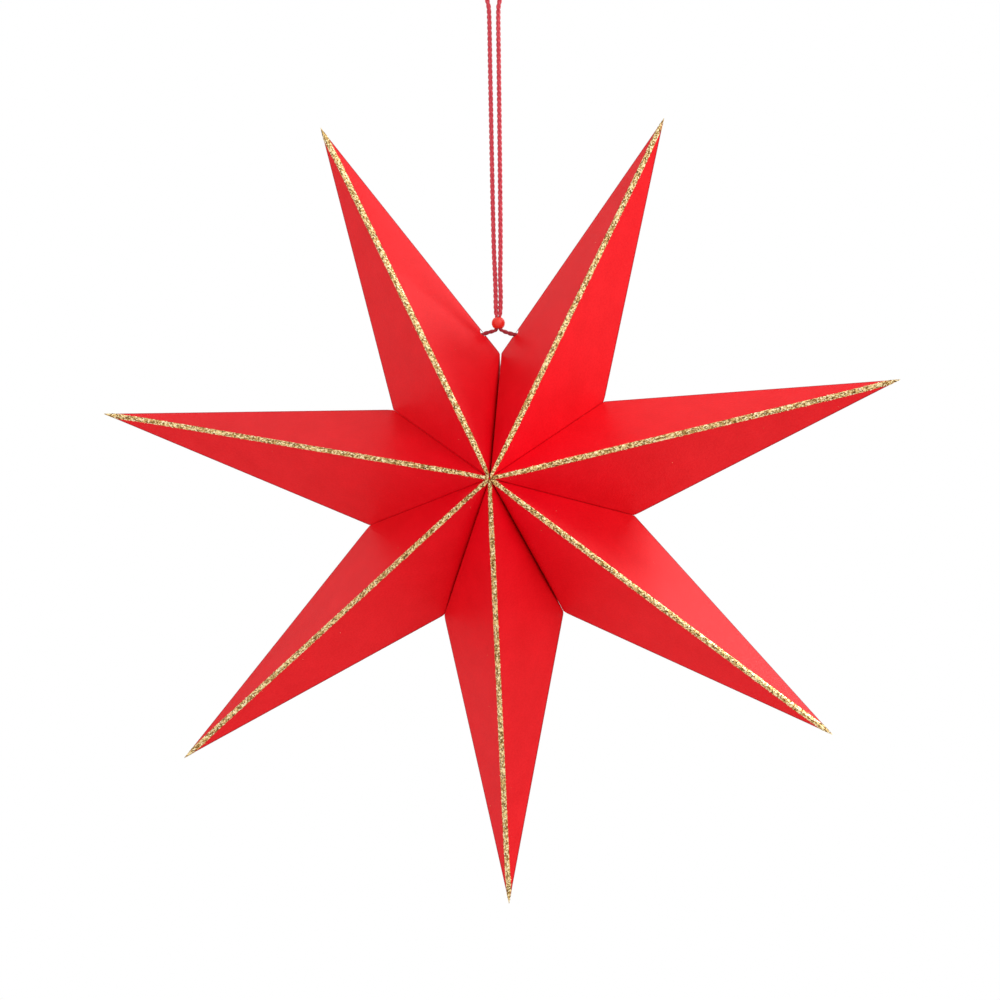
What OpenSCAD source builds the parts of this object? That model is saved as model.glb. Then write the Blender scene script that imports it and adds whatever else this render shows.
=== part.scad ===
// Hanging paper star with seven folded points, glitter along its ridges and a
// doubled cord that a bead closes over the open valley. Millimetres.
// The origin is inside the top of the hanging loop, +Z is up, and the front
// of the star faces -Y.

/* [Star] */
// Centre of the star to the tip of a point
tip_r = 310; // [220:5:400]
// Centre of the star to the notch between two points
notch_r = 103; // [85:1:125]
// Middle plane to the front apex, and to the back apex
apex_h = 80; // [60:1:100]
// Thickness of the card
card_t = 0.4; // [0.3:0.05:0.8]
// How far the star hangs turned about its axis, degrees
hang_turn = 0.5; // [-3:0.1:3]

/* [Glue flaps] */
// Width of the flap folded in along each valley
flap_w = 14; // [8:1:22]
// Slit between a front flap and a back flap, at the notch
flap_slit = 1.5; // [0.5:0.1:3]
// Film of glue between two flaps
glue_t = 0.1; // [0.05:0.05:0.3]
// Gap between the two end flaps, which are not glued
valley_gap = 1; // [0.8:0.1:3]
// Length of fold that is trimmed off at a notch
trim_along = 4; // [2:0.5:8]
// Depth of that trim along the valley
trim_in = 1.2; // [0.5:0.1:3]

/* [Glitter] */
// Width of the glitter line over a ridge, seen from the front
glitter_w = 3.8; // [2:0.1:8]
// Thickness of the glitter
glitter_t = 0.25; // [0.1:0.05:0.5]

/* [Cord] */
// Inside top of the hanging loop to the centre of the star
hang_drop = 400; // [380:1:420]
// Diameter of the cord
cord_d = 3; // [2:0.1:4]
// Diameter of the hole punched across a fold
hole_d = 6.5; // [5:0.1:8]
// Notch to the left hole, along the fold
hole_up_left = 21; // [17:0.5:26]
// Notch to the right hole, along the fold
hole_up_right = 19; // [16:0.5:26]
// Diameter of the knot that stops a cord's end
knot_d = 9; // [8:0.1:10]
// Room between a knot and the card
knot_clear = 0.1; // [0.05:0.05:0.3]

/* [Bead] */
// Diameter of the bead
bead_d = 10; // [9:0.5:14]
// Diameter of its bore, in which the two strands are squeezed
bore_d = 4.6; // [4:0.1:6]
// Diameter of the flare of the bore, at the level of the bead's pole
mouth_d = 7; // [6:0.1:8]
// Centre of the bead to where the flare begins
mouth_from = 3; // [2:0.1:3.5]
// Room between the bore and a strand, and between the strands
strand_clear = 0.1; // [0.05:0.05:0.3]
// Length over which a strand swells again outside the bead
swell_run = 5.5; // [3:0.5:10]
// Centre of the star to the centre of the bead
bead_up = 127; // [115:0.5:150]

/* [Hidden] */

card_red = [0.86, 0.06, 0.09];
glitter_gold = [0.80, 0.70, 0.38];
cord_crimson = [0.78, 0.13, 0.24];
bead_red = [0.93, 0.16, 0.10];

// Points are counted clockwise, seen from the front, from the upper left one.
// Valley k lies between point k and the next, and valley 1 is the open one.
point_count = 7;
step = 360 / point_count;
open_valley = 1;

// The folding is by hand: how far each tip and each valley stands off an even
// star, in degrees, anticlockwise seen from the front, and how much further
// than tip_r and notch_r it is from the centre.
tip_lean = [-0.8, 0.6, 0.7, 0.4, -0.2, -0.1, -0.1];
valley_lean = [-1.3, 0.5, 0.3, 0.2, -0.2, 0, -0.2];
tip_more = [1.2, -2.6, 0.6, -0.6, -0.4, 1.5, -0.9];
notch_more = [0.7, -0.2, 0, 0.9, 0.3, -0.3, 0];

// The cord's route across the star, as [x, z] pairs: from the left knot, out
// of the hole, up through the bead, round the hanging loop and back down.
cord_route = [
    [-12.9, -281.9], [-10.4, -280.7], [-6.6, -279.6], [-2.8, -278.7], [-1.6, -277.6],
    [-1.1, -276.2], [-1.1, -274], [-1.1, -269.2], [-1.6, -263.5], [-1.7, -250],
    [-1.9, -238], [-2.5, -216], [-2.9, -175], [-3.1, -130], [-3.3, -80],
    [-3.5, -36], [-4.6, -26], [-6.3, -15], [-6.6, -4], [-4.4, 0.1],
    [0, 1.5],
    [4.4, 0.1], [6.6, -4], [6.3, -15], [4.6, -26], [3.5, -36],
    [3.3, -80], [3.1, -130], [2.9, -175], [2.5, -216], [1.9, -238],
    [2.1, -250], [1.7, -263.5], [1.1, -269.2], [1.1, -274], [1.1, -276.2],
    [1.6, -277.6], [2.8, -278.7], [7, -280.5], [11.6, -282], [14.2, -283.1]
];
cord_sides = 8;
ring_gap = 11;

// Spare reach of the cutting shapes past what they cut, which is less where
// the slit stops behind its flap
over = 1;
slit_over = 0.2;
round_fn = 64;

// Headings in the plane of the star, in degrees anticlockwise from +X
function tip_heading(i) = 90 + hang_turn + step * (1.5 - i) + tip_lean[i - 1];
function valley_heading(k) = 90 + hang_turn + step * (1 - k) + valley_lean[k - 1];

// Angles from point i to its two valleys. Side +1 is the anticlockwise one.
function valley_before(i) = i == 1 ? valley_heading(point_count) + 360 : valley_heading(i - 1);
function half_angle(i, side) =
    side > 0 ? valley_before(i) - tip_heading(i) : tip_heading(i) - valley_heading(i);

// Distance of a flap's outer face from its valley's plane
function valley_number(i, side) = side > 0 ? (i == 1 ? point_count : i - 1) : i;
function seam(i, side) = (valley_number(i, side) == open_valley ? valley_gap : glue_t) / 2;

// In a point's own frame +X runs to its tip, +Z to the front apex, and both
// sides are worked out as if they were the +Y one.
function valley_r(i, side) = notch_r + notch_more[valley_number(i, side) - 1];
function notch(i, side) =
    valley_r(i, side) * [cos(half_angle(i, side)), sin(half_angle(i, side))];
function tip_x(i) = tip_r + tip_more[i - 1];
function fold_dir(i, side) =
    let (v = [tip_x(i), 0] - notch(i, side)) v / norm(v);
function base_y(i, side) =
    let (n = notch(i, side)) n[1] * tip_x(i) / (tip_x(i) - n[0]);
function facet_slope(i, side) = [1 / tip_x(i), 1 / base_y(i, side), 1 / apex_h];

// The cord's hole is on the clockwise side of point 1 and the other of point 2
function hole_at(i, side) =
    notch(i, side) + (i == 1 ? hole_up_left : hole_up_right) * fold_dir(i, side);

// The four facets of a point, run back to the axis and moved in by inset
module spike(i, inset) {
    y_up = base_y(i, 1);
    y_down = base_y(i, -1);
    k_up = inset * norm(facet_slope(i, 1));
    k_down = inset * norm(facet_slope(i, -1));
    y_ridge = (k_down - k_up) / (1 / y_up + 1 / y_down);
    share = 1 - k_up - y_ridge / y_up;
    polyhedron(
        points = [
            [tip_x(i) * share, y_ridge, 0],
            [0, y_ridge, apex_h * share],
            [0, y_up * (1 - k_up), 0],
            [0, y_ridge, -apex_h * share],
            [0, -y_down * (1 - k_down), 0]
        ],
        faces = [[0, 1, 2], [0, 4, 1], [0, 2, 3], [0, 3, 4], [1, 4, 3, 2]]
    );
}

// The space between a point's two valley planes, moved in by inset
module sector(i, inset) {
    a = half_angle(i, 1);
    b = half_angle(i, -1);
    in_a = seam(i, 1) + inset;
    in_b = seam(i, -1) + inset;
    corner = [
        (in_a * cos(b) + in_b * cos(a)) / sin(a + b),
        (in_b * sin(a) - in_a * sin(b)) / sin(a + b)
    ];
    reach = 1.5 * tip_r;
    linear_extrude(height = 3 * apex_h, center = true)
        polygon([
            corner,
            corner + reach * [cos(b), -sin(b)],
            corner + reach * [cos(a), sin(a)]
        ]);
}

// Puts a shape made for the +Y side on either side of a point
module on_side(side) {
    mirror([0, side < 0 ? 1 : 0, 0]) children();
}

// What is missing inside the flaps: the star's inner space, and the slit
module flap_window(i, side) {
    out_x = valley_r(i, side);
    in_x = out_x - flap_w * norm([1, out_x / apex_h]);
    in_z = apex_h - flap_w * norm([1, apex_h / out_x]);
    depth = seam(i, side) + card_t;
    on_side(side)
        rotate([0, 0, half_angle(i, side)]) {
            translate([0, over, 0])
                rotate([90, 0, 0])
                    linear_extrude(height = depth + 2 * over)
                        polygon([[-over, -in_z], [in_x, 0], [-over, in_z]]);
            translate([in_x - over, -depth - slit_over, -flap_slit / 2])
                cube([out_x - in_x + 2 * over, depth + slit_over + over, flap_slit]);
        }
}

// The corner cut off the fold where it runs into the notch
module corner_trim(i, side) {
    n = notch(i, side);
    a = n + trim_along * fold_dir(i, side);
    b = n - trim_in * n / norm(n);
    out = (trim_along + trim_in) * [a[1] - b[1], b[0] - a[0]] / norm(a - b);
    on_side(side)
        linear_extrude(height = 2 * trim_along, center = true)
            polygon([a, b, b - out, a - out]);
}

// A round hole punched across the fold while the card was flat
module punched_hole(i, side) {
    slope = facet_slope(i, side);
    spot = hole_at(i, side);
    on_side(side)
        for (back = [0, 1])
            mirror([0, 0, back])
                intersection() {
                    translate([spot[0], spot[1], 0])
                        rotate([0, acos(slope[2] / norm(slope)), atan2(slope[1], slope[0])])
                            cylinder(h = 3 * card_t, d = hole_d, center = true, $fn = round_fn);
                    translate([spot[0] - hole_d, spot[1] - hole_d, 0])
                        cube(2 * hole_d);
                }
}

// Places a shape made in the frame of point i
module at_point(i) {
    translate([0, 0, -hang_drop])
        rotate([90, 0, 0])
            rotate([0, 0, tip_heading(i)])
                children();
}

// One sheet of card: four facets, and the flaps folded in at both valleys
module card_point(i, hole_side = 0) {
    color(card_red)
        at_point(i)
            difference() {
                intersection() {
                    spike(i, 0);
                    sector(i, 0);
                }
                intersection() {
                    spike(i, card_t);
                    sector(i, card_t);
                }
                flap_window(i, 1);
                flap_window(i, -1);
                corner_trim(i, -1);
                if (hole_side != 0)
                    punched_hole(i, hole_side);
            }
}

// Glitter bonded over both ridges of a point and over its tip
module glitter_line(i) {
    color(glitter_gold)
        at_point(i)
            intersection() {
                difference() {
                    spike(i, -glitter_t);
                    spike(i, 0);
                }
                translate([0, -glitter_w / 2, -apex_h - over])
                    cube([tip_r * 1.1, glitter_w, 2 * (apex_h + over)]);
                sector(i, 0);
            }
}

// The cord, swept along its route with rings at even steps
function spline(a, b, c, d, u) =
    0.5 * (2 * b + (c - a) * u + (2 * a - 5 * b + 4 * c - d) * u * u
        + (3 * b - a - 3 * c + d) * u * u * u);
function route_at(k) = cord_route[min(max(k, 0), len(cord_route) - 1)];
cord_line = [
    for (k = [0 : len(cord_route) - 2])
        let (count = max(1, ceil(norm(route_at(k + 1) - route_at(k)) / ring_gap)))
            for (s = [0 : count - 1])
                spline(route_at(k - 1), route_at(k), route_at(k + 1), route_at(k + 2), s / count),
    route_at(len(cord_route) - 1)
];
function line_dir(k) =
    let (v = cord_line[min(k + 1, len(cord_line) - 1)] - cord_line[max(k - 1, 0)]) v / norm(v);

// A strand's radius at height z: it is squeezed in the bead and swells outside it
squeezed_r = (bore_d - 3 * strand_clear) / 4;
function strand_r(z) =
    let (past = abs(z - bead_up + hang_drop) - mouth_from - over)
        squeezed_r + (cord_d / 2 - squeezed_r) * min(max(past / swell_run, 0), 1);

module cord() {
    rings = len(cord_line);
    points = [
        for (k = [0 : rings - 1])
            let (t = line_dir(k), r = strand_r(cord_line[k][1]))
                for (s = [0 : cord_sides - 1])
                    let (a = 360 * s / cord_sides)
                        [
                            cord_line[k][0] - t[1] * cos(a) * r,
                            sin(a) * r,
                            cord_line[k][1] + t[0] * cos(a) * r
                        ]
    ];
    walls = [
        for (k = [0 : rings - 2])
            for (s = [0 : cord_sides - 1])
                let (a = k * cord_sides + s, b = k * cord_sides + (s + 1) % cord_sides)
                    [a, b, b + cord_sides, a + cord_sides]
    ];
    first = [for (s = [cord_sides - 1 : -1 : 0]) s];
    last = [for (s = [0 : cord_sides - 1]) (rings - 1) * cord_sides + s];
    color(cord_crimson)
        polyhedron(points = points, faces = concat(walls, [first, last]));
}

// A knot drawn up inside a point, against the card round the hole. Its flat
// is where the cord comes out of it.
module knot(i, side, cord_end, cord_dir) {
    slope = facet_slope(i, side);
    dir = fold_dir(i, side);
    half_fold = norm([slope[0], slope[1]]) / norm(slope);
    seat = (knot_d / 2 + knot_clear + card_t) / half_fold;
    spot = hole_at(i, side) - seat * [-dir[1], dir[0]];
    a = tip_heading(i);
    center = [
        spot[0] * cos(a) - side * spot[1] * sin(a),
        spot[0] * sin(a) + side * spot[1] * cos(a) - hang_drop
    ];
    color(cord_crimson)
        translate([center[0], 0, center[1]])
            rotate([0, 90 - atan2(cord_dir[1], cord_dir[0]), 0])
                difference() {
                    sphere(d = knot_d, $fn = round_fn);
                    translate([-knot_d, -knot_d, (cord_end - center) * cord_dir])
                        cube(2 * knot_d);
                }
}

module knot_left() {
    knot(1, -1, cord_line[0], line_dir(0));
}

module knot_right() {
    last = len(cord_line) - 1;
    knot(2, 1, cord_line[last], -line_dir(last));
}

// A turned bead on both strands of the cord, with a flared bore
module bead() {
    color(bead_red)
        translate([0, 0, bead_up - hang_drop])
            difference() {
                sphere(d = bead_d, $fn = round_fn);
                cylinder(h = bead_d + over, d = bore_d, center = true, $fn = round_fn);
                for (turn = [0, 180])
                    rotate([turn, 0, 0])
                        translate([0, 0, mouth_from])
                            cylinder(h = bead_d / 2 - mouth_from, d1 = bore_d, d2 = mouth_d, $fn = round_fn);
            }
}

card_point(1, hole_side = -1);  // point_1
card_point(2, hole_side = 1);  // point_2
card_point(3);  // point_3
card_point(4);  // point_4
card_point(5);  // point_5
card_point(6);  // point_6
card_point(7);  // point_7
glitter_line(1);  // glitter_1
glitter_line(2);  // glitter_2
glitter_line(3);  // glitter_3
glitter_line(4);  // glitter_4
glitter_line(5);  // glitter_5
glitter_line(6);  // glitter_6
glitter_line(7);  // glitter_7
cord();
knot_left();
knot_right();
bead();
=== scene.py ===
"""Looks of the hanging paper star: folded red card, gold glitter on its ridges,
a twisted cord and a painted bead. Pieces are modelled in millimetres and brought
into the frame, in metres, when they are finished."""

import math

import bpy
import numpy as np
from mathutils import Matrix, Quaternion, Vector


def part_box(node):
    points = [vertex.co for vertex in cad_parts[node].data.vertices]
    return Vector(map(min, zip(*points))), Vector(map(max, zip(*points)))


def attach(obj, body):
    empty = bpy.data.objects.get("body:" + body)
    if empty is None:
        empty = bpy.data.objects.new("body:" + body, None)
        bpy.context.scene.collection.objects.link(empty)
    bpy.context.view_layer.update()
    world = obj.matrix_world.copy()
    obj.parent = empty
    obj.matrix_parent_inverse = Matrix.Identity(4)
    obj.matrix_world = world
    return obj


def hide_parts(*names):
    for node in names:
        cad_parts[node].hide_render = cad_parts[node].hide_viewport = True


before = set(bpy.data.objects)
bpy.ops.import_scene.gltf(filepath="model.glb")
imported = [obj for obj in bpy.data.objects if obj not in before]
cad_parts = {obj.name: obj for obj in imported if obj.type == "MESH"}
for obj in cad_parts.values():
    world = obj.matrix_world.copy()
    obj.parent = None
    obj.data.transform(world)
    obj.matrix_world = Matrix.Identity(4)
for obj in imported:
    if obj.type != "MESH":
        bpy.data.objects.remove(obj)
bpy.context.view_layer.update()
MM = 0.001

# The star, in millimetres and degrees, as it is built
POINTS = 7
STEP = 360 / POINTS
TIP_R = 310.0
NOTCH_R = 103.0
APEX_H = 80.0
CARD_T = 0.4
HANG_TURN = 0.5
HANG_DROP = 400.0
TIP_LEAN = (-0.8, 0.6, 0.7, 0.4, -0.2, -0.1, -0.1)
VALLEY_LEAN = (-1.3, 0.5, 0.3, 0.2, -0.2, 0.0, -0.2)
TIP_MORE = (1.2, -2.6, 0.6, -0.6, -0.4, 1.5, -0.9)
NOTCH_MORE = (0.7, -0.2, 0.0, 0.9, 0.3, -0.3, 0.0)
OPEN_VALLEY = 1
GLUE_T = 0.1
VALLEY_GAP = 1.0
FLAP_W = 14.0
FLAP_SLIT = 1.5
TRIM_ALONG = 4.0
TRIM_IN = 1.2
HOLE_D = 6.5
HOLE_UP = {1: 21.0, 2: 19.0}
HOLE_SIDE = {1: -1, 2: 1}
GLITTER_W = 3.8
GLITTER_T = 0.12

# The cord's route, as (x, z): from the left knot, out of the hole, up through
# the bead, round the hanging loop and back down
CORD_ROUTE = (
    (-12.9, -281.9), (-10.4, -280.7), (-6.6, -279.6), (-2.8, -278.7), (-1.6, -277.6),
    (-1.1, -276.2), (-1.1, -274), (-1.1, -269.2), (-1.6, -263.5), (-1.7, -250),
    (-1.9, -238), (-2.5, -216), (-2.9, -175), (-3.1, -130), (-3.3, -80),
    (-3.5, -36), (-4.6, -26), (-6.3, -15), (-6.6, -4), (-4.4, 0.1),
    (0, 1.5),
    (4.4, 0.1), (6.6, -4), (6.3, -15), (4.6, -26), (3.5, -36),
    (3.3, -80), (3.1, -130), (2.9, -175), (2.5, -216), (1.9, -238),
    (2.1, -250), (1.7, -263.5), (1.1, -269.2), (1.1, -274), (1.1, -276.2),
    (1.6, -277.6), (2.8, -278.7), (7, -280.5), (11.6, -282), (14.2, -283.1),
)
CORD_D = 3.0
SQUEEZED_D = 2.15
SQUEEZED_HALF = 4.0
SWELL_RUN = 5.5
PLY_PITCH = 8.4

# The camera of the photograph
CAMERA_AZIMUTH = 5.9
CAMERA_ELEVATION = -6.5
CAMERA_ROLL = -0.85
CAMERA_DISTANCE = 3.88
CAMERA_LENS = 186.0
CAMERA_AIM = (-0.68, -7.16)


# Small helpers

def activate(obj):
    bpy.ops.object.select_all(action="DESELECT")
    obj.select_set(True)
    bpy.context.view_layer.objects.active = obj


def edit(obj):
    activate(obj)
    bpy.ops.object.mode_set(mode="EDIT")
    bpy.ops.mesh.select_all(action="SELECT")


def done():
    bpy.ops.object.mode_set(mode="OBJECT")


def pick(obj, kind, test):
    """In object mode, selects only the vertices, edges or faces that pass the test."""
    data = obj.data
    for part in (data.vertices, data.edges, data.polygons):
        part.foreach_set("select", [False] * len(part))
    parts = {"VERT": data.vertices, "EDGE": data.edges, "FACE": data.polygons}[kind]
    for part in parts:
        part.select = bool(test(part))
    activate(obj)
    bpy.ops.object.mode_set(mode="EDIT")
    bpy.ops.mesh.select_mode(type=kind)


def cut(at, normal, clear=False, fill=False):
    """Cuts what is selected. With clear, what lies on the normal's side goes."""
    bpy.ops.mesh.bisect(
        plane_co=at, plane_no=normal, clear_outer=clear, use_fill=fill, threshold=1e-5
    )


def apply_all(obj):
    activate(obj)
    for modifier in list(obj.modifiers):
        bpy.ops.object.modifier_apply(modifier=modifier.name)


def settle(obj):
    """Puts an object's place into its mesh."""
    activate(obj)
    bpy.ops.object.transform_apply(location=True, rotation=True, scale=True)


def new_mesh(name, points, faces):
    data = bpy.data.meshes.new(name)
    data.from_pydata([tuple(p) for p in points], [], [tuple(f) for f in faces])
    data.validate()
    obj = bpy.data.objects.new(name, data)
    bpy.context.scene.collection.objects.link(obj)
    return obj


def finish_piece(obj, node, body, material, matrix=None, smooth=None):
    """Names a piece, brings it into the frame, dresses it and lets it ride."""
    obj.name = node + "_made"
    obj.data.name = obj.name
    obj.data.transform(matrix or Matrix.Identity(4))
    obj.data.transform(Matrix.Scale(MM, 4))
    obj.data.materials.clear()
    obj.data.materials.append(material)
    activate(obj)
    if smooth is None:
        bpy.ops.object.shade_smooth()
    else:
        bpy.ops.object.shade_smooth_by_angle(angle=math.radians(smooth))
    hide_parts(node)
    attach(obj, body)
    return obj


# The star's geometry

def tip_heading(i):
    return math.radians(90 + HANG_TURN + STEP * (1.5 - i) + TIP_LEAN[i - 1])


def valley_heading(k):
    return math.radians(90 + HANG_TURN + STEP * (1 - k) + VALLEY_LEAN[k - 1])


def half_angle(i, side):
    """From point i's ridge to its valley. Side +1 is the anticlockwise one."""
    if side < 0:
        return tip_heading(i) - valley_heading(i)
    before = valley_heading(i - 1) if i > 1 else valley_heading(POINTS) + 2 * math.pi
    return before - tip_heading(i)


def valley_number(i, side):
    return i if side < 0 else (i - 1 or POINTS)


def seam(i, side):
    """From the valley's middle plane to the outside of the flap."""
    return (VALLEY_GAP if valley_number(i, side) == OPEN_VALLEY else GLUE_T) / 2


def tip_x(i):
    return TIP_R + TIP_MORE[i - 1]


def valley_r(i, side):
    return NOTCH_R + NOTCH_MORE[valley_number(i, side) - 1]


def notch(i, side):
    angle = half_angle(i, side)
    return valley_r(i, side) * Vector((math.cos(angle), side * math.sin(angle), 0))


def fold_dir(i, side):
    return (Vector((tip_x(i), 0, 0)) - notch(i, side)).normalized()


def side_width(i, side):
    """Width of a point's side, where its facets run back to the star's axis."""
    at = notch(i, side)
    return abs(at.y) * tip_x(i) / (tip_x(i) - at.x)


def facet_normal(i, side, face):
    slope = Vector((1 / tip_x(i), side / side_width(i, side), face / APEX_H))
    return slope.normalized()


def valley_normal(i, side):
    """Unit normal of a valley's plane, pointing into the point."""
    angle = half_angle(i, side)
    return Vector((math.sin(angle), -side * math.cos(angle), 0))


def valley_axis(i, side):
    angle = half_angle(i, side)
    return Vector((math.cos(angle), side * math.sin(angle), 0))


def valley_depth(i, side, p):
    """How far inside a valley's flap a place is."""
    return p.dot(valley_normal(i, side)) - seam(i, side)


def point_matrix(i):
    """From a point's own frame, +X to its tip and +Z to the front, to the star's."""
    return (
        Matrix.Translation((0, 0, -HANG_DROP))
        @ Matrix.Rotation(math.radians(90), 4, "X")
        @ Matrix.Rotation(tip_heading(i), 4, "Z")
    )


# Folded card

FOLD_SHARE = 0.011
FOLD_CUTS = (1 / 3, 2 / 3, 1)
BOW_CUTS = (0.12, 0.26, 0.42, 0.58, 0.74, 0.88)
# Each valley's bend and how far its lips stand apart, from the top one clockwise
VALLEY_ROUND = (0.7, 0.7, 0.8, 1.0, 0.9, 0.5, 0.45)
VALLEY_OPEN = (0.08, 0.0, 0.04, 0.2, 0.1, 0.0, 0.0)
LIP_UP = 0.08
LIP_DOWN = 0.15
HUB_OPEN = 0.16
HUB_OPEN_UP = 0.04
HUB_OPEN_TO = 0.2
# The points' sides that bend softly towards their valley, and how far
SOFT_FOLDS = {(1, -1): 7.0, (4, -1): 5.0, (5, 1): 10.0, (6, 1): 7.0}
SOFT_RUN = 0.3
VALLEY_SHARES = (0.07, 0.16, 0.3, 0.48, 0.7, 1.0)
SLICE = 14.0
BOW = 0.9
BOW_FROM_VALLEY = 34.0


def smooth_step(u):
    u = min(max(u, 0.0), 1.0)
    return u * u * (3 - 2 * u)


def up_and_down(u, up, down):
    """Rises from 0 at u = 0 and falls back to 0 at u = 1, over the shares given."""
    return smooth_step(u / up) * smooth_step((1 - u) / down)


def fold_reach(i, side, along):
    """How far a valley's fold bends the card, from the hub, 0, to the notch, 1."""
    soft = SOFT_FOLDS.get((i, side), 0.0) * up_and_down(along, SOFT_RUN, SOFT_RUN)
    return VALLEY_ROUND[valley_number(i, side) - 1] + soft


def lip_open(i, side, along):
    """How far a valley's lip is drawn aside, in the same measure."""
    hub = HUB_OPEN * smooth_step(along / HUB_OPEN_UP) * (1 - smooth_step(along / HUB_OPEN_TO))
    lip = VALLEY_OPEN[valley_number(i, side) - 1] * up_and_down(along, LIP_UP, LIP_DOWN)
    return hub + lip


def valley_cuts(i, side):
    reach = VALLEY_ROUND[valley_number(i, side) - 1] + SOFT_FOLDS.get((i, side), 0.0)
    return [share * reach for share in VALLEY_SHARES]


def spike(i):
    """An open pyramid with a point's four facets, cut where it folds and bows."""
    bpy.ops.mesh.primitive_cone_add(
        vertices=4, radius1=APEX_H, radius2=0, depth=tip_x(i), end_fill_type="NOTHING",
        location=(tip_x(i) / 2, 0, 0), rotation=(0, math.pi / 2, 0),
    )
    obj = bpy.context.object
    settle(obj)
    for side in (1, -1):
        pick(obj, "VERT", lambda v: v.co.y * side > 1)
        bpy.ops.transform.translate(value=(0, side * (side_width(i, side) - APEX_H), 0))
        done()
    shares = [FOLD_SHARE * c for c in FOLD_CUTS]
    shares += list(BOW_CUTS) + [1 - s for s in reversed(shares)]
    for side in (1, -1):
        for face in (1, -1):
            pick(obj, "FACE", lambda p: p.center.y * side > 0 and p.center.z * face > 0)
            for share in shares:
                across = Vector((0, side * share * side_width(i, side), 0))
                across.z = face * (1 - share) * APEX_H
                cut((0, 0, 0), across.cross(Vector((1, 0, 0))).normalized())
            done()
    edit(obj)
    for k in range(1, int(tip_x(i) / SLICE) + 1):
        bpy.ops.mesh.select_all(action="SELECT")
        cut((k * SLICE, 0, 0), (1, 0, 0))
    for side in (1, -1):
        inward = valley_normal(i, side)
        for depth in (0, *valley_cuts(i, side)):
            bpy.ops.mesh.select_all(action="SELECT")
            cut(inward * (seam(i, side) + depth), -inward, clear=depth == 0)
    done()
    return obj


def flap_drop(i, side):
    """How steeply a flap's free edge closes on the star's centre, for each unit of width."""
    return math.hypot(1 / valley_r(i, side), 1 / APEX_H)


def fold_flaps(obj, i):
    """Extrudes the glue flaps from both valleys, in rows, and slits them."""
    for side in (1, -1):
        inward = valley_normal(i, side)
        foot = inward * seam(i, side)
        uses = {}
        for polygon in obj.data.polygons:
            for key in polygon.edge_keys:
                uses[key] = uses.get(key, 0) + 1
        points = [v.co.copy() for v in obj.data.vertices]

        def on_valley(edge):
            level = [abs((points[v] - foot).dot(inward)) < 1e-3 for v in edge.vertices]
            return all(level) and uses.get(tuple(sorted(edge.vertices)), 0) == 1

        def on_flap(polygon):
            return abs((polygon.center - foot).dot(inward)) < 1e-3

        pick(obj, "EDGE", on_valley)
        before = 1.0
        for depth in (*valley_cuts(i, side), FLAP_W):
            now = 1 - depth * flap_drop(i, side)
            bpy.ops.mesh.extrude_edges_move()
            bpy.ops.transform.resize(value=(now / before,) * 3, center_override=foot)
            before = now
        done()
        pick(obj, "FACE", on_flap)
        for level in (FLAP_SLIT / 2, -FLAP_SLIT / 2):
            cut((0, 0, level), (0, 0, 1))
        done()
        pick(obj, "FACE", lambda p: on_flap(p) and abs(p.center.z) < FLAP_SLIT / 2)
        bpy.ops.mesh.delete(type="FACE")
        done()


def trim_corner(obj, i, side):
    at = notch(i, side)
    a = at + TRIM_ALONG * fold_dir(i, side)
    b = at - TRIM_IN * at.normalized()
    along = (a - b).normalized()
    out = Vector((-along.y, along.x, 0)) * side
    edit(obj)
    cut(a, out, clear=True)
    done()


def round_at(share, first, corner, last):
    """A place on the soft curve that stands for a sharp fold."""
    return (1 - share) ** 2 * first + 2 * share * (1 - share) * corner + share * share * last


def round_fold(i, p, across, scale):
    """Rounds a point's ridge and its outer fold."""
    side = 1 if p.y >= 0 else -1
    ridge = Vector((0, 0, APEX_H if p.z >= 0 else -APEX_H))
    edge = Vector((0, side * side_width(i, side), 0))
    other = Vector((0, -side * side_width(i, -side), 0))
    on_ridge = across < 0.5
    gap = across if on_ridge else 1 - across
    if gap >= FOLD_SHARE:
        return p
    corner, here, there = (ridge, edge, other) if on_ridge else (edge, ridge, -ridge)
    first = corner + (here - corner) * FOLD_SHARE
    last = corner + (there - corner) * FOLD_SHARE
    bent = round_at(0.5 * (1 - gap / FOLD_SHARE), first, corner, last) * scale
    return Vector((p.x, bent.y, bent.z))


def round_valley(i, p, side, face, on_flap, drop):
    """Rounds the fold between a facet and its flap. Returns how far the place moves."""
    axis = valley_axis(i, side)
    inward = valley_normal(i, side)
    normal = facet_normal(i, side, face)
    fold = (axis * valley_r(i, side) - Vector((0, 0, face * APEX_H))).normalized()
    into_facet = fold.cross(normal).normalized()
    if into_facet.dot(inward) < 0:
        into_facet.negate()
    into_flap = fold.cross(inward).normalized()
    if into_flap.dot(axis) > 0:
        into_flap.negate()
    along = p.dot(axis) / valley_r(i, side)
    reach = fold_reach(i, side, along)
    past = drop if on_flap else valley_depth(i, side, p) / into_facet.dot(inward)
    aside = inward * lip_open(i, side, along) * max(0, 1 - past / FLAP_W)
    if past >= reach:
        return aside
    share = 0.5 * (1 + (past if on_flap else -past) / reach)
    bent = round_at(share, into_facet * reach, Vector(), into_flap * reach)
    moved = bent - (into_flap if on_flap else into_facet) * past
    moved.z *= min(1, abs(p.z) / reach)
    return moved + aside


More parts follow.
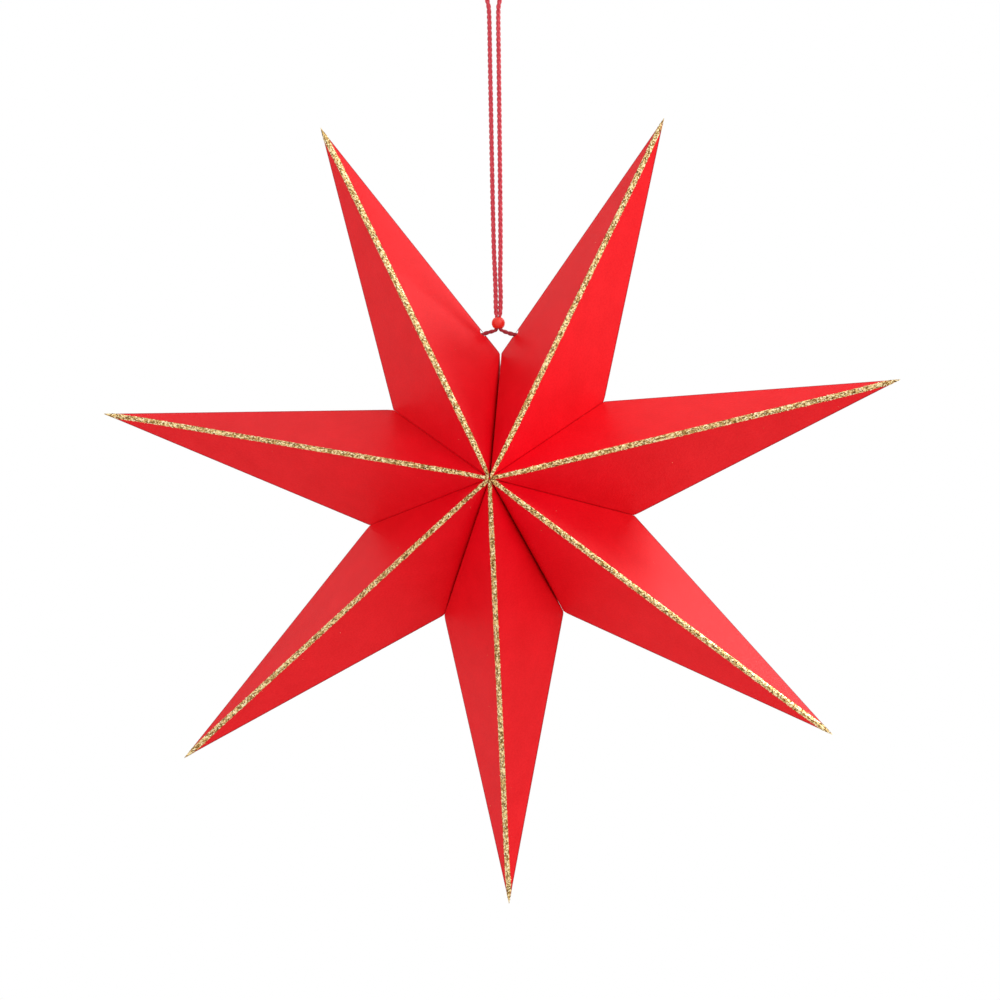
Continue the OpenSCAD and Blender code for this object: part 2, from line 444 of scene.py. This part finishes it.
def shaped(i, p):
    """Where a place on the sharp-edged point lies on the real, softly folded one."""
    face = 1 if p.z >= 0 else -1
    scale = 1 - p.x / tip_x(i)
    near = min((1, -1), key=lambda side: valley_depth(i, side, p))
    depth = valley_depth(i, near, p)
    level = p.dot(valley_axis(i, near))
    drop = (1 - level / valley_r(i, near) - abs(p.z) / APEX_H) / flap_drop(i, near)
    on_flap = depth < 1e-3 and drop > 1e-3
    valley_move = round_valley(i, p, near, face, on_flap, drop)
    if not on_flap and scale > 1e-6:
        side = 1 if p.y >= 0 else -1
        across = abs(p.y) / (scale * side_width(i, side))
        bow = BOW * scale * 4 * across * (1 - across) * smooth_step(depth / BOW_FROM_VALLEY)
        p = round_fold(i, p, across, scale) + facet_normal(i, side, face) * bow
    return p + valley_move


def soften(obj, i):
    for v in obj.data.vertices:
        v.co = shaped(i, v.co.copy())
    obj.data.update()


def face_outwards(obj):
    """Makes an open shell's normals agree and turns them away from its inside."""
    edit(obj)
    bpy.ops.mesh.remove_doubles(threshold=1e-4)
    bpy.ops.mesh.normals_make_consistent(inside=False)
    done()
    front = max(obj.data.polygons, key=lambda p: p.area * (p.center.z > 0) * (p.center.x > 30))
    if front.normal.z < 0:
        edit(obj)
        bpy.ops.mesh.flip_normals()
        done()


def thicken(obj, thickness, outwards):
    wall = obj.modifiers.new("wall", "SOLIDIFY")
    wall.thickness = thickness
    wall.offset = 1 if outwards else -1
    apply_all(obj)


def punch_hole(obj, i, side):
    """Punches the cord's hole across the fold, a half at a time."""
    at = notch(i, side) + HOLE_UP[i] * fold_dir(i, side)
    for face in (1, -1):
        normal = facet_normal(i, side, face)
        bpy.ops.mesh.primitive_cylinder_add(
            vertices=40, radius=HOLE_D / 2, depth=12 * CARD_T, location=at,
            rotation=normal.to_track_quat("Z", "Y").to_euler(),
        )
        punch = bpy.context.object
        settle(punch)
        edit(punch)
        cut((0, 0, 0), (0, 0, -face), clear=True, fill=True)
        done()
        modifier = obj.modifiers.new("hole", "BOOLEAN")
        modifier.object = punch
        modifier.operation = "DIFFERENCE"
        modifier.solver = "MANIFOLD"
        apply_all(obj)
        bpy.data.objects.remove(punch)


def make_card_point(i, material):
    obj = spike(i)
    fold_flaps(obj, i)
    trim_corner(obj, i, -1)
    soften(obj, i)
    face_outwards(obj)
    thicken(obj, CARD_T, outwards=False)
    if i in HOLE_SIDE:
        punch_hole(obj, i, HOLE_SIDE[i])
    node = f"point_{i}"
    return finish_piece(obj, node, "star", material, point_matrix(i), smooth=32)


# Glitter

LINE_SHARE = (1.0, 0.88, 0.90, 0.96, 0.90, 0.90, 0.86)
HUB_FLARE = (0.0, 0.0, 0.2, 0.4, 0.4, 0.3, 0.1)
FLARE_RUN = 14.0
WAIST = 0.64
WAIST_FROM = -8.0
WAIST_RUN = 52.0
GRAIN_SEED = 40
GRAIN_R = 0.37
GRAIN_SIZES = (0.7, 1.25)
GRAIN_LEAN = 0.6
CORNER_STRAY = 0.35
GRAIN_UP = (0.05, 0.26)
GRAIN_SUNK = 0.08
GRAIN_SPACE = 0.13
GRAIN_STRAY = 0.4
LOOSE_GRAINS = 14
LOOSE_RUN = 9.0
LOOSE_SIZE = 0.6
# How far a grain keeps from a valley: less in the stretch that is next to the hub
HUB_X = 14.0
HUB_CLEAR = 0.05
GRAIN_CLEAR = 0.5
# How far each line lies off its ridge, clockwise, except at the hub and in its last
# stretch, where the facets are narrower than the line
LINE_OFF = (0.6, 0.5, 0.5, 0.3, 0.4, 0.4, 0.5)
OFF_RUN = 25.0
NARROW_TIP = 12.0


def line_half(i, x):
    """Half the width of a glitter line: a waist near the hub, and a flare at it."""
    share = WAIST + (1 - WAIST) * smooth_step((x - WAIST_FROM) / WAIST_RUN)
    share += HUB_FLARE[i - 1] * (1 - smooth_step(x / FLARE_RUN))
    return GLITTER_W / 2 * LINE_SHARE[i - 1] * share


def line_edge(i, side, x):
    """How far a line reaches to one side of its ridge."""
    off = LINE_OFF[i - 1] * smooth_step(x / OFF_RUN)
    off *= smooth_step((tip_x(i) - NARROW_TIP - x) / OFF_RUN)
    return line_half(i, x) - side * off


def glitter_bed(i):
    """The glue and the fine glitter under the grains, over both ridges."""
    obj = spike(i)
    edit(obj)
    for side in (1, -1):
        bpy.ops.mesh.select_all(action="SELECT")
        cut((0, side * GLITTER_W / 2, 0), (0, side, 0), clear=True)
    done()
    for v in obj.data.vertices:
        share = line_edge(i, 1 if v.co.y > 0 else -1, v.co.x) / (GLITTER_W / 2)
        ridge = (1 if v.co.z >= 0 else -1) * APEX_H * (1 - v.co.x / tip_x(i))
        v.co.y *= share
        v.co.z = ridge + (v.co.z - ridge) * share
    soften(obj, i)
    face_outwards(obj)
    thicken(obj, GLITTER_T, outwards=True)
    return obj


def add_grain(points, faces, rng, at, normal, size):
    """A small closed pyramid that lies flat on the face at a random turn."""
    along = normal.cross(Vector((0, 1, 0))).normalized()
    across = normal.cross(along)
    turn = rng.uniform(0, 2 * math.pi)
    first = len(points)
    for corner in range(3):
        angle = turn + corner * 2 * math.pi / 3 + rng.uniform(-CORNER_STRAY, CORNER_STRAY)
        points.append(at + (along * math.cos(angle) + across * math.sin(angle)) * size)
    lean = rng.uniform(-GRAIN_LEAN, GRAIN_LEAN, 2) * size
    rise = GRAIN_SUNK + rng.uniform(*GRAIN_UP)
    points.append(at + normal * rise + along * lean[0] + across * lean[1])
    faces += [
        (first, first + 2, first + 1),
        (first, first + 1, first + 3),
        (first + 1, first + 2, first + 3),
        (first + 2, first, first + 3),
    ]


def grains(i):
    """Grains of glitter strewn over both ridges, and a few loose ones beside them."""
    rng = np.random.default_rng(GRAIN_SEED + i)
    slant = math.hypot(1, APEX_H / side_width(i, 1))
    count = int(TIP_R * GLITTER_W * slant / GRAIN_SPACE)
    points, faces = [], []
    for face in (1, -1):
        x = rng.uniform(0.5, tip_x(i), count)
        half = np.array([line_half(i, value) for value in x])
        middle = np.array([line_edge(i, 1, value) for value in x]) - half
        y = middle + rng.uniform(-1, 1, count) * (half + rng.normal(0, GRAIN_STRAY / 2, count))
        size = GRAIN_R * rng.uniform(*GRAIN_SIZES, count)
        y[:LOOSE_GRAINS] = rng.normal(0, LOOSE_RUN, LOOSE_GRAINS)
        size[:LOOSE_GRAINS] *= LOOSE_SIZE
        for k in range(count):
            side = 1 if y[k] >= 0 else -1
            scale = 1 - x[k] / tip_x(i)
            share = abs(y[k]) / (side_width(i, side) * scale)
            place = Vector((x[k], y[k], face * APEX_H * scale * (1 - share)))
            clear = min(valley_depth(i, s, place) for s in (1, -1))
            if share > 1 or clear < (HUB_CLEAR if x[k] < HUB_X else size[k] * GRAIN_CLEAR):
                continue
            normal = facet_normal(i, side, face)
            bed = GLITTER_T if k >= LOOSE_GRAINS else 0.0
            at = shaped(i, place) + normal * (bed - GRAIN_SUNK)
            add_grain(points, faces, rng, at, normal, size[k])
    return new_mesh(f"grains_{i}", points, faces)


def make_glitter_line(i, material):
    bed = glitter_bed(i)
    strewn = grains(i)
    activate(bed)
    strewn.select_set(True)
    bpy.ops.object.join()
    node = f"glitter_{i}"
    return finish_piece(bed, node, "star", material, point_matrix(i), smooth=12)


# Cord, knots and bead

def spline(route, gap):
    """Points about gap apart on the smooth curve through the route's points."""
    line = []
    last = len(route) - 1
    for k in range(last):
        a, b, c, d = (route[min(max(k + s, 0), last)] for s in (-1, 0, 1, 2))
        count = max(1, math.ceil((c - b).length / gap))
        for s in range(count):
            u = s / count
            line.append(
                0.5 * (2 * b + (c - a) * u + (2 * a - 5 * b + 4 * c - d) * u * u
                       + (3 * b - a - 3 * c + d) * u ** 3)
            )
    line.append(route[last].copy())
    return line


def directions(line, closed=False):
    count = len(line)
    dirs = []
    for k in range(count):
        ahead = line[(k + 1) % count] if closed else line[min(k + 1, count - 1)]
        behind = line[(k - 1) % count] if closed else line[max(k - 1, 0)]
        dirs.append((ahead - behind).normalized())
    return dirs


def sweep(line, radii, sides, start, closed=False):
    """A round tube along a line: its points, its faces, and a map of it, in metres
    along the tube and in turns round it."""
    dirs = directions(line, closed)
    up = start - dirs[0] * start.dot(dirs[0])
    points, faces, places = [], [], []
    for at, direction, radius in zip(line, dirs, radii):
        up = (up - direction * up.dot(direction)).normalized()
        other = direction.cross(up)
        for s in range(sides):
            angle = 2 * math.pi * s / sides
            points.append(at + (up * math.cos(angle) + other * math.sin(angle)) * radius)
    rings = len(line)
    along = 0.0
    for k in range(rings if closed else rings - 1):
        ahead = along + (line[(k + 1) % rings] - line[k]).length * MM
        for s in range(sides):
            a, b = k * sides + s, k * sides + (s + 1) % sides
            c, d = (k + 1) % rings * sides + (s + 1) % sides, (k + 1) % rings * sides + s
            faces.append((a, b, c, d))
            low, high = s / sides, (s + 1) / sides
            places += [(along, low), (along, high), (ahead, high), (ahead, low)]
        along = ahead
    if not closed:
        faces.append(tuple(range(sides - 1, -1, -1)))
        faces.append(tuple((rings - 1) * sides + s for s in range(sides)))
        places += [(0.0, 0.0)] * (2 * sides)
    return points, faces, places


def tube_mesh(name, tubes):
    """One mesh of several tubes, with their maps."""
    points, faces, places = [], [], []
    for tube in tubes:
        first = len(points)
        points += tube[0]
        faces += [tuple(f + first for f in face) for face in tube[1]]
        places += tube[2]
    obj = new_mesh(name, points, faces)
    layer = obj.data.uv_layers.new(name="UVMap")
    layer.data.foreach_set("uv", [value for place in places for value in place])
    return obj


# The plies, as shares of the strand's radius, and the tubes' rings, in millimetres
PLY_OUT = 0.37
PLY_R = 0.85
RING_GAP = 0.5
TUBE_SIDES = 12


def strand_d(z, bead_z):
    past = abs(z - bead_z) - SQUEEZED_HALF
    return SQUEEZED_D + (CORD_D - SQUEEZED_D) * min(max(past / SWELL_RUN, 0), 1)


def make_cord(material, bead_z):
    """Two plies twisted round each other along the cord's route."""
    route = [Vector((x, 0, z)) for x, z in CORD_ROUTE]
    line = spline(route, RING_GAP)
    run = [0.0]
    for a, b in zip(line, line[1:]):
        run.append(run[-1] + (b - a).length)
    plies = []
    for ply in (0, 1):
        centres, radii = [], []
        for at, direction, along in zip(line, directions(line), run):
            radius = strand_d(at.z, bead_z) / 2
            angle = 2 * math.pi * along / PLY_PITCH + ply * math.pi
            outward = Vector((-direction.z, 0, direction.x))
            offset = outward * math.cos(angle) + Vector((0, 1, 0)) * math.sin(angle)
            centres.append(at + offset * radius * PLY_OUT)
            radii.append(radius * PLY_R)
        plies.append(sweep(centres, radii, TUBE_SIDES, Vector((0, 1, 0))))
    obj = tube_mesh("cord", plies)
    finish_piece(obj, "cord", "star", material, smooth=60)
    return obj, [p * MM for p in line], run[-1] * MM


KNOT_STEPS = 120
KNOT_STRAND_R = 1.26
KNOT_FLAT = 1.3


def make_knot(node, material):
    """A small tight knot, drawn up in the space that its ball holds."""
    lo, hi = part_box(node)
    centre = (lo + hi) / 2 / MM
    size = (min(hi - lo) / 2 / MM - KNOT_STRAND_R) / 3
    line = []
    for k in range(KNOT_STEPS):
        t = 2 * math.pi * k / KNOT_STEPS
        line.append(
            centre + size * Vector((
                math.sin(t) + 2 * math.sin(2 * t),
                math.cos(t) - 2 * math.cos(2 * t),
                -KNOT_FLAT * math.sin(3 * t),
            ))
        )
    radii = [KNOT_STRAND_R] * KNOT_STEPS
    ring = sweep(line, radii, TUBE_SIDES, Vector((0.3, 0.2, 1)), closed=True)
    obj = tube_mesh(node, [ring])
    return finish_piece(obj, node, "star", material, smooth=60)


# The bead's flat ends and bore, as shares of its radius, and its lips as the share of
# the way from bore to rim with the drop at each step, in millimetres
BEAD_LIP = 0.8
BORE_SHARE = 0.47
LIP_STEPS = ((0.86, 0.02), (0.6, 0.18), (0.25, 0.55), (0.0, 0.9))


def make_bead(material):
    """A turned ball with soft lips round its bore."""
    lo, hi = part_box("bead")
    radius = (hi.x - lo.x) / 2 / MM
    bpy.ops.mesh.primitive_uv_sphere_add(segments=48, ring_count=40, radius=radius)
    obj = bpy.context.object
    level = radius * BEAD_LIP
    rim = math.sqrt(radius ** 2 - level ** 2)
    bore = radius * BORE_SHARE
    edit(obj)
    for face in (1, -1):
        bpy.ops.mesh.select_all(action="SELECT")
        cut((0, 0, face * level), (0, 0, face), clear=True)
    done()
    for face in (1, -1):
        heights = [v.co.z * face for v in obj.data.vertices]
        pick(obj, "EDGE", lambda e: all(heights[v] > level - 1e-3 for v in e.vertices))
        before = rim
        for share, sink in LIP_STEPS:
            now = bore + (rim - bore) * share
            closer = now / before
            bpy.ops.mesh.extrude_edges_move()
            bpy.ops.transform.resize(value=(closer, closer, 1), center_override=(0, 0, 0))
            bpy.ops.transform.translate(value=(0, 0, -face * sink))
            before = now
        done()
    ends = {v.index for v in obj.data.vertices if v.co.xy.length < bore + 1e-3}
    pick(obj, "EDGE", lambda e: ends.issuperset(e.vertices))
    bpy.ops.mesh.bridge_edge_loops()
    done()
    edit(obj)
    bpy.ops.mesh.normals_make_consistent(inside=False)
    done()
    place = Matrix.Translation((lo + hi) / 2 / MM)
    return finish_piece(obj, "bead", "bead", material, place, smooth=50)


# Materials

def material(name):
    made = bpy.data.materials.new(name)
    made.use_nodes = True
    tree = made.node_tree
    return made, tree, tree.nodes["Principled BSDF"]


def node(tree, kind, **values):
    made = tree.nodes.new(kind)
    for name, value in values.items():
        if name in made.inputs:
            made.inputs[name].default_value = value
        else:
            setattr(made, name, value)
    return made


def link(tree, source, output, target, into):
    tree.links.new(source.outputs[output], target.inputs[into])


def fine_grain_group():
    """Cloudy unevenness and a fine grain, for any matt surface."""
    group = bpy.data.node_groups.new("fine_grain", "ShaderNodeTree")
    face = group.interface
    face.new_socket("Place", in_out="INPUT", socket_type="NodeSocketVector")
    for name, value in (("Cloud Scale", 60.0), ("Grain Scale", 1500.0)):
        face.new_socket(name, in_out="INPUT", socket_type="NodeSocketFloat").default_value = value
    for name in ("Cloud", "Grain"):
        face.new_socket(name, in_out="OUTPUT", socket_type="NodeSocketFloat")
    start = group.nodes.new("NodeGroupInput")
    end = group.nodes.new("NodeGroupOutput")
    cloud = node(group, "ShaderNodeTexNoise", Detail=5.0, Roughness=0.6)
    grain = node(group, "ShaderNodeTexNoise", Detail=3.0, Roughness=0.7)
    link(group, start, "Place", cloud, "Vector")
    link(group, start, "Cloud Scale", cloud, "Scale")
    link(group, start, "Place", grain, "Vector")
    link(group, start, "Grain Scale", grain, "Scale")
    link(group, cloud, "Fac", end, "Cloud")
    link(group, grain, "Fac", end, "Grain")
    return group


def place_grain(tree, group, cloud_scale, grain_scale):
    place = tree.nodes.new("ShaderNodeTexCoord")
    grain = tree.nodes.new("ShaderNodeGroup")
    grain.node_tree = group
    grain.inputs["Cloud Scale"].default_value = cloud_scale
    grain.inputs["Grain Scale"].default_value = grain_scale
    link(tree, place, "Object", grain, "Place")
    return place, grain


def ramp(tree, source, output, stops):
    made = tree.nodes.new("ShaderNodeValToRGB")
    elements = made.color_ramp.elements
    elements[0].position, elements[0].color = stops[0][0], (*stops[0][1], 1)
    elements[1].position, elements[1].color = stops[-1][0], (*stops[-1][1], 1)
    for position, colour in stops[1:-1]:
        elements.new(position).color = (*colour, 1)
    link(tree, source, output, made, "Fac")
    return made


def bump(tree, source, output, shader, strength, distance):
    made = node(tree, "ShaderNodeBump", Strength=strength, Distance=distance)
    link(tree, source, output, made, "Height")
    link(tree, made, "Normal", shader, "Normal")


def multiply(tree, first, second):
    mixed = node(tree, "ShaderNodeMix", data_type="RGBA", blend_type="MULTIPLY")
    mixed.inputs["Factor"].default_value = 1.0
    tree.links.new(first, mixed.inputs[6])
    tree.links.new(second, mixed.inputs[7])
    return mixed.outputs[2]


def span(tree, source, output, low, high, to_low=0.0, to_high=1.0):
    """Maps a value's range onto another."""
    made = node(tree, "ShaderNodeMapRange")
    for name, value in (
        ("From Min", low), ("From Max", high), ("To Min", to_low), ("To Max", to_high),
    ):
        made.inputs[name].default_value = value
    link(tree, source, output, made, "Value")
    return made


# In metres: painted fold shade, from the middle plane, then painted sheen, from the star's axis
FOLD_SHADE_FROM, FOLD_SHADE_TO = 0.00025, 0.0010
SHEEN_START, SHEEN_FULL = 0.035, 0.15


def red_card(group):
    """Satin red card: a little cloudy, with a fine paper grain, and painted shade along
    the outer folds, which all lie in the star's middle plane. Outwards it is a paler red,
    a painted sheen that fades out towards the hub, where the red is deeper."""
    made, tree, shader = material("red_card")
    place, grain = place_grain(tree, group, 45.0, 750.0)
    tone = ramp(tree, grain, "Cloud", [
        (0.30, (0.790, 0.0120, 0.0155)),
        (0.50, (0.825, 0.0140, 0.0180)),
        (0.72, (0.865, 0.0160, 0.0205)),
    ])
    speckle = ramp(tree, grain, "Grain", [
        (0.38, (0.94, 0.60, 0.80)),
        (0.62, (1.00, 1.00, 1.00)),
    ])
    parts = tree.nodes.new("ShaderNodeSeparateXYZ")
    link(tree, place, "Object", parts, "Vector")
    from_fold = node(tree, "ShaderNodeMath", operation="ABSOLUTE")
    link(tree, parts, "Y", from_fold, 0)
    near_fold = span(tree, from_fold, 0, FOLD_SHADE_FROM, FOLD_SHADE_TO)
    # Painted shade: a thin darker band along the outer folds
    painted_fold_shade = ramp(tree, near_fold, "Result", [
        (0.0, (0.42, 0.50, 0.60)),
        (1.0, (1.00, 1.00, 1.00)),
    ])
    coloured = multiply(tree, tone.outputs["Color"], speckle.outputs["Color"])
    coloured = multiply(tree, coloured, painted_fold_shade.outputs["Color"])
    # Painted sheen: paler outwards, with more green and blue; round the hub the red stays deep
    flat = node(tree, "ShaderNodeVectorMath", operation="MULTIPLY")
    flat.inputs[1].default_value = (1, 0, 1)
    link(tree, place, "Object", flat, 0)
    off_axis = node(tree, "ShaderNodeVectorMath", operation="DISTANCE")
    off_axis.inputs[1].default_value = (0, 0, -HANG_DROP * MM)
    link(tree, flat, 0, off_axis, 0)
    painted_sheen_share = span(tree, off_axis, "Value", SHEEN_START, SHEEN_FULL)
    depth = ramp(tree, painted_sheen_share, "Result", [
        (0.0, (0.98, 0.18, 0.55)),
        (1.0, (1.00, 1.00, 1.00)),
    ])
    coloured = multiply(tree, coloured, depth.outputs["Color"])
    tree.links.new(coloured, shader.inputs["Base Color"])
    rough = span(tree, grain, "Grain", 0.3, 0.7, 0.30, 0.40)
    link(tree, rough, "Result", shader, "Roughness")
    shader.inputs["Specular IOR Level"].default_value = 0.08
    bump(tree, grain, "Grain", shader, 0.9, 0.0002)
    return made


def gold_glitter():
    """Flakes in gold and olive, each cell of the pattern a flake of its own tone."""
    made, tree, shader = material("gold_glitter")
    place = tree.nodes.new("ShaderNodeTexCoord")
    cells = node(tree, "ShaderNodeTexVoronoi", Scale=1000.0)
    link(tree, place, "Object", cells, "Vector")
    parts = tree.nodes.new("ShaderNodeSeparateColor")
    link(tree, cells, "Color", parts, "Color")
    tone = ramp(tree, parts, "Red", [
        (0.00, (0.16, 0.070, 0.008)),
        (0.24, (0.30, 0.16, 0.034)),
        (0.50, (0.70, 0.46, 0.15)),
        (0.74, (0.95, 0.79, 0.41)),
        (1.00, (1.00, 0.93, 0.66)),
    ])
    link(tree, tone, "Color", shader, "Base Color")
    shader.inputs["Metallic"].default_value = 0.7
    shader.inputs["Roughness"].default_value = 0.38
    return made


YARN_PITCH = 0.0052
YARNS = 4
# Below this height, in metres, the cord has painted shade
CORD_SHADE_LEVEL = -0.277
CORD_SHADE_FADE = 0.001


def crimson_cord(group):
    """Twisted yarn: fine helical threads on each ply with painted shade in their grooves,
    a soft nap and uneven dye, and painted shade on the two short runs below the bead."""
    made, tree, shader = material("crimson_cord")
    place, grain = place_grain(tree, group, 500.0, 4200.0)
    on_tube = node(tree, "ShaderNodeUVMap", uv_map="UVMap")
    parts = tree.nodes.new("ShaderNodeSeparateXYZ")
    link(tree, on_tube, "UV", parts, "Vector")
    along = node(tree, "ShaderNodeMath", operation="MULTIPLY")
    along.inputs[1].default_value = -2 * math.pi / YARN_PITCH
    link(tree, parts, "X", along, 0)
    turned = node(tree, "ShaderNodeMath", operation="MULTIPLY_ADD")
    turned.inputs[1].default_value = 2 * math.pi * YARNS
    link(tree, parts, "Y", turned, 0)
    link(tree, along, 0, turned, 2)
    thread = node(tree, "ShaderNodeMath", operation="SINE")
    link(tree, turned, 0, thread, 0)
    lifted = node(tree, "ShaderNodeMapRange")
    lifted.inputs["From Min"].default_value = -1.0
    link(tree, thread, 0, lifted, "Value")
    tone = ramp(tree, grain, "Cloud", [
        (0.30, (0.56, 0.028, 0.050)),
        (0.55, (0.72, 0.060, 0.086)),
        (0.78, (0.82, 0.105, 0.130)),
    ])
    # Painted shade: darker in the grooves between the threads
    groove_shade = ramp(tree, lifted, "Result", [
        (0.0, (0.72, 0.60, 0.64)),
        (0.6, (1.00, 1.00, 1.00)),
    ])
    # Painted shade: darker on the two short runs below the bead
    level = tree.nodes.new("ShaderNodeSeparateXYZ")
    link(tree, place, "Object", level, "Vector")
    above = span(tree, level, "Z", CORD_SHADE_LEVEL - CORD_SHADE_FADE, CORD_SHADE_LEVEL)
    drawn = ramp(tree, above, "Result", [
        (0.0, (0.58, 0.42, 0.46)),
        (1.0, (1.00, 1.00, 1.00)),
    ])
    coloured = multiply(tree, tone.outputs["Color"], groove_shade.outputs["Color"])
    coloured = multiply(tree, coloured, drawn.outputs["Color"])
    tree.links.new(coloured, shader.inputs["Base Color"])
    shader.inputs["Roughness"].default_value = 0.8
    shader.inputs["Specular IOR Level"].default_value = 0.25
    shader.inputs["Sheen Weight"].default_value = 0.35
    bump(tree, lifted, "Result", shader, 0.6, 0.0002)
    return made


def painted_bead(group):
    made, tree, shader = material("painted_bead")
    _, grain = place_grain(tree, group, 300.0, 1500.0)
    tone = ramp(tree, grain, "Cloud", [
        (0.3, (0.84, 0.022, 0.012)),
        (0.7, (0.94, 0.040, 0.020)),
    ])
    link(tree, tone, "Color", shader, "Base Color")
    shader.inputs["Roughness"].default_value = 0.42
    bump(tree, grain, "Cloud", shader, 0.1, 0.0002)
    return made


# Camera, light and room

def aim_camera():
    azimuth, elevation = math.radians(CAMERA_AZIMUTH), math.radians(CAMERA_ELEVATION)
    back = Vector((
        math.sin(azimuth) * math.cos(elevation),
        -math.cos(azimuth) * math.cos(elevation),
        math.sin(elevation),
    ))
    aim = Vector((CAMERA_AIM[0], 0, CAMERA_AIM[1] - HANG_DROP)) * MM
    data = bpy.data.cameras.new("camera")
    camera = bpy.data.objects.new("camera", data)
    bpy.context.scene.collection.objects.link(camera)
    data.lens = CAMERA_LENS
    camera.location = aim + back * CAMERA_DISTANCE
    turned = (-back).to_track_quat("-Z", "Y")
    roll = Quaternion((0, 0, 1), math.radians(CAMERA_ROLL))
    camera.rotation_mode = "QUATERNION"
    camera.rotation_quaternion = turned @ roll
    bpy.context.scene.camera = camera


def area_light(name, place, size, power):
    """A square soft white light that faces the star."""
    data = bpy.data.lights.new(name, "AREA")
    data.shape = "SQUARE"
    data.size = size
    data.energy = power
    light = bpy.data.objects.new(name, data)
    bpy.context.scene.collection.objects.link(light)
    centre = Vector((0, 0, -HANG_DROP * MM))
    light.location = centre + Vector(place)
    light.rotation_mode = "QUATERNION"
    light.rotation_quaternion = (-Vector(place)).to_track_quat("-Z", "Y")


AMBIENT = 0.75
FLOOR_Z = -1.35
FLOOR_SIZE = 14.0
# Each light: off the star's axis and round it from +X, in degrees, then its
# distance and size in metres and its power
LIGHTS = {
    "key": (52, 40, 4.0, 2.0, 40.0),
    "side": (100, 38, 4.0, 0.9, 78.0),
    "fill": (60, 180, 4.0, 2.0, 17.0),
}


def light_room():
    world = bpy.data.worlds.new("room")
    bpy.context.scene.world = world
    world.use_nodes = True
    tree = world.node_tree
    shade = tree.nodes["Background"]
    path = tree.nodes.new("ShaderNodeLightPath")
    seen = node(tree, "ShaderNodeMath", operation="MAXIMUM")
    link(tree, path, "Is Camera Ray", seen, 0)
    link(tree, path, "Is Glossy Ray", seen, 1)
    seen_more = node(tree, "ShaderNodeMath", operation="MAXIMUM")
    link(tree, seen, 0, seen_more, 0)
    link(tree, path, "Is Transmission Ray", seen_more, 1)
    level = node(tree, "ShaderNodeMapRange")
    level.inputs["To Min"].default_value = AMBIENT
    level.inputs["To Max"].default_value = 1.0
    link(tree, seen_more, 0, level, "Value")
    link(tree, level, "Result", shade, "Strength")
    shade.inputs["Color"].default_value = (1, 1, 1, 1)
    for name, (off, around, distance, size, power) in LIGHTS.items():
        off, around = math.radians(off), math.radians(around)
        towards = Vector((
            math.sin(off) * math.cos(around), -math.cos(off), math.sin(off) * math.sin(around),
        ))
        area_light(name, towards * distance, size, power)


def lay_floor():
    """A pale floor under the star, clear when it is seen from below. Glossy surfaces see
    the white of the background there."""
    bpy.ops.mesh.primitive_plane_add(size=FLOOR_SIZE, location=(0, 0, FLOOR_Z))
    floor = bpy.context.object
    floor.name = "floor"
    made, tree, shader = material("pale_floor")
    shader.inputs["Base Color"].default_value = (0.78, 0.78, 0.78, 1)
    shader.inputs["Roughness"].default_value = 0.8
    path = tree.nodes.new("ShaderNodeLightPath")
    white = tree.nodes.new("ShaderNodeEmission")
    seen = tree.nodes.new("ShaderNodeMixShader")
    link(tree, path, "Is Glossy Ray", seen, "Fac")
    tree.links.new(shader.outputs["BSDF"], seen.inputs[1])
    tree.links.new(white.outputs["Emission"], seen.inputs[2])
    facing = tree.nodes.new("ShaderNodeNewGeometry")
    clear = tree.nodes.new("ShaderNodeBsdfTransparent")
    mix = tree.nodes.new("ShaderNodeMixShader")
    link(tree, facing, "Backfacing", mix, "Fac")
    tree.links.new(seen.outputs["Shader"], mix.inputs[1])
    tree.links.new(clear.outputs["BSDF"], mix.inputs[2])
    link(tree, mix, "Shader", tree.nodes["Material Output"], "Surface")
    made.cycles.emission_sampling = "NONE"
    floor.data.materials.append(made)


bpy.context.scene.view_settings.view_transform = "Standard"
aim_camera()
light_room()
lay_floor()

grain_group = fine_grain_group()
cord_material = crimson_cord(grain_group)
bead_low, bead_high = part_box("bead")
bead_level = (bead_low.z + bead_high.z) / 2 / MM
cord, cord_path, cord_length = make_cord(cord_material, bead_level)
knots = [make_knot(name, cord_material) for name in ("knot_left", "knot_right")]
bead = make_bead(painted_bead(grain_group))

card = red_card(grain_group)
gold = gold_glitter()
for number in range(1, POINTS + 1):
    make_card_point(number, card)
    make_glitter_line(number, gold)
